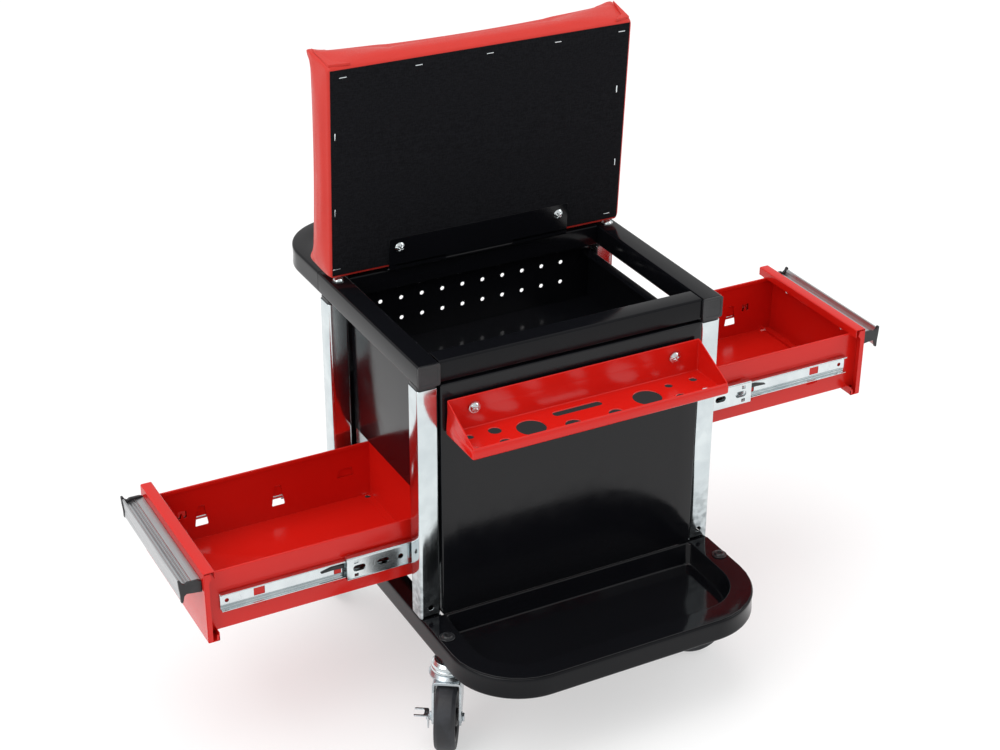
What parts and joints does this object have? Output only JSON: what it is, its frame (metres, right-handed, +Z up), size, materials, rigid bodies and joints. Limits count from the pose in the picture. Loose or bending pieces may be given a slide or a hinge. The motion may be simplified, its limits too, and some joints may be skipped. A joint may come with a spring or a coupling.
{
  "type": "rolling workshop seat",
  "caption": "Padded seat on a square-tube caster frame, with a lidded tool compartment, side drawers, a punched tool holder and a front tray.",
  "frame": {"origin": "on the floor, under the middle of the footprint", "axes": "+Z up, +X to the side the upper drawer opens to, -Y towards the front tray and tool holder"},
  "size_m": [0.8686, 0.537, 0.6861],
  "materials": {
    "black_powder_coat": "gloss",
    "red_powder_coat": "gloss",
    "zinc_plate": "bright zinc",
    "brushed_aluminium": "satin",
    "black_plastic": "matte",
    "wheel_rubber": "matte",
    "red_vinyl": "satin",
    "plywood": "raw",
    "backing_cloth": "matte"
  },
  "bodies": {
    "frame": {"top_rail_left": "black_powder_coat", "top_rail_right": "black_powder_coat", "top_rail_front": "black_powder_coat", "top_rail_rear": "black_powder_coat", "rail_end_cap_left": "black_plastic", "rail_end_cap_right": "black_plastic", "push_hoop": "black_powder_coat", "post_front_left": "zinc_plate", "post_front_right": "zinc_plate", "post_rear_left": "zinc_plate", "post_rear_right": "zinc_plate", "base_hoop": "black_powder_coat", "base_rear_cross": "black_powder_coat", "front_tray": "black_powder_coat", "front_panel": "black_powder_coat", "rear_panel": "black_powder_coat", "side_panel_left": "black_powder_coat", "side_panel_right": "black_powder_coat", "compartment": "black_powder_coat", "tool_holder": "red_powder_coat", "slide_bracket_front": "zinc_plate", "slide_bracket_rear": "zinc_plate", "slide_outer_lower_a": "zinc_plate", "slide_outer_lower_b": "zinc_plate", "slide_outer_upper_a": "zinc_plate", "slide_outer_upper_b": "zinc_plate", "hinge_leaf_frame": "black_powder_coat", "hinge_pin": "zinc_plate"},
    "seat": {"seat_cushion": "red_vinyl", "seat_board": "plywood", "seat_backing": "backing_cloth", "hinge_leaf_seat": "black_powder_coat"},
    "drawer_lower": {"drawer_tray_lower": "red_powder_coat", "drawer_front_lower": "red_powder_coat", "pull_lower": "brushed_aluminium", "pull_cap_lower_a": "black_plastic", "pull_cap_lower_b": "black_plastic", "slide_inner_lower_a": "zinc_plate", "slide_inner_lower_b": "zinc_plate"},
    "slide_middle_lower": {"slide_middle_lower_a": "zinc_plate", "slide_middle_lower_b": "zinc_plate"},
    "drawer_upper": {"drawer_tray_upper": "red_powder_coat", "drawer_front_upper": "red_powder_coat", "pull_upper": "brushed_aluminium", "pull_cap_upper_a": "black_plastic", "pull_cap_upper_b": "black_plastic", "slide_inner_upper_a": "zinc_plate", "slide_inner_upper_b": "zinc_plate"},
    "slide_middle_upper": {"slide_middle_upper_a": "zinc_plate", "slide_middle_upper_b": "zinc_plate"},
    "caster_front_left": {"caster_fork_front_left": "zinc_plate"},
    "wheel_front_left": {"caster_wheel_front_left": "wheel_rubber"},
    "brake_front_left": {"brake_lever_front_left": "zinc_plate"},
    "caster_front_right": {"caster_fork_front_right": "zinc_plate"},
    "wheel_front_right": {"caster_wheel_front_right": "wheel_rubber"},
    "brake_front_right": {"brake_lever_front_right": "zinc_plate"},
    "caster_rear_left": {"caster_fork_rear_left": "zinc_plate"},
    "wheel_rear_left": {"caster_wheel_rear_left": "wheel_rubber"},
    "caster_rear_right": {"caster_fork_rear_right": "zinc_plate"},
    "wheel_rear_right": {"caster_wheel_rear_right": "wheel_rubber"}
  },
  "joints": [
    {"name": "seat_lid", "type": "hinge", "parent": "frame", "child": "seat", "pos_m": [0, 0.1005, 0.4317], "axis": [1, 0, 0], "range_deg": [0, 86.5]},
    {"name": "drawer_lower_slide", "type": "slide", "parent": "frame", "child": "drawer_lower", "axis": [1, 0, 0], "range_m": [0, 0.2431]},
    {"name": "slide_middle_lower_travel", "type": "slide", "parent": "frame", "child": "slide_middle_lower", "axis": [1, 0, 0], "range_m": [0, 0.12165]},
    {"name": "drawer_upper_slide", "type": "slide", "parent": "frame", "child": "drawer_upper", "axis": [-1, 0, 0], "range_m": [-0.0056, 0.2375]},
    {"name": "slide_middle_upper_travel", "type": "slide", "parent": "frame", "child": "slide_middle_upper", "axis": [-1, 0, 0], "range_m": [-0.0029, 0.11885]},
    {"name": "swivel_front_left", "type": "hinge", "parent": "frame", "child": "caster_front_left", "pos_m": [-0.1705, -0.1605, 0.0965], "axis": [0, 0, 1], "continuous": true},
    {"name": "roll_front_left", "type": "hinge", "parent": "caster_front_left", "child": "wheel_front_left", "pos_m": [-0.18375, -0.1817, 0.0375], "axis": [0.848, -0.5299, 0], "continuous": true},
    {"name": "brake_lever_front_left", "type": "hinge", "parent": "caster_front_left", "child": "brake_front_left", "pos_m": [-0.18375, -0.1817, 0.0375], "axis": [0.848, -0.5299, 0], "range_deg": [-12, 0]},
    {"name": "swivel_front_right", "type": "hinge", "parent": "frame", "child": "caster_front_right", "pos_m": [0.1705, -0.1605, 0.0965], "axis": [0, 0, 1], "continuous": true},
    {"name": "roll_front_right", "type": "hinge", "parent": "caster_front_right", "child": "wheel_front_right", "pos_m": [0.14588, -0.15616, 0.0375], "axis": [-0.1736, -0.9848, 0], "continuous": true},
    {"name": "brake_lever_front_right", "type": "hinge", "parent": "caster_front_right", "child": "brake_front_right", "pos_m": [0.14588, -0.15616, 0.0375], "axis": [-0.1736, -0.9848, 0], "range_deg": [-12, 0]},
    {"name": "swivel_rear_left", "type": "hinge", "parent": "frame", "child": "caster_rear_left", "pos_m": [-0.1705, 0.1185, 0.0965], "axis": [0, 0, 1], "continuous": true},
    {"name": "roll_rear_left", "type": "hinge", "parent": "caster_rear_left", "child": "wheel_rear_left", "pos_m": [-0.17094, 0.1435, 0.0375], "axis": [-0.9998, -0.0175, 0], "continuous": true},
    {"name": "swivel_rear_right", "type": "hinge", "parent": "frame", "child": "caster_rear_right", "pos_m": [0.1705, 0.1185, 0.0965], "axis": [0, 0, 1], "continuous": true},
    {"name": "roll_rear_right", "type": "hinge", "parent": "caster_rear_right", "child": "wheel_rear_right", "pos_m": [0.17311, 0.14336, 0.0375], "axis": [-0.9945, 0.1045, 0], "continuous": true}
  ],
  "couplings": [
    {"joint": "slide_middle_lower_travel", "follows": "drawer_lower_slide", "ratio": 0.5},
    {"joint": "slide_middle_upper_travel", "follows": "drawer_upper_slide", "ratio": 0.5}
  ]
}
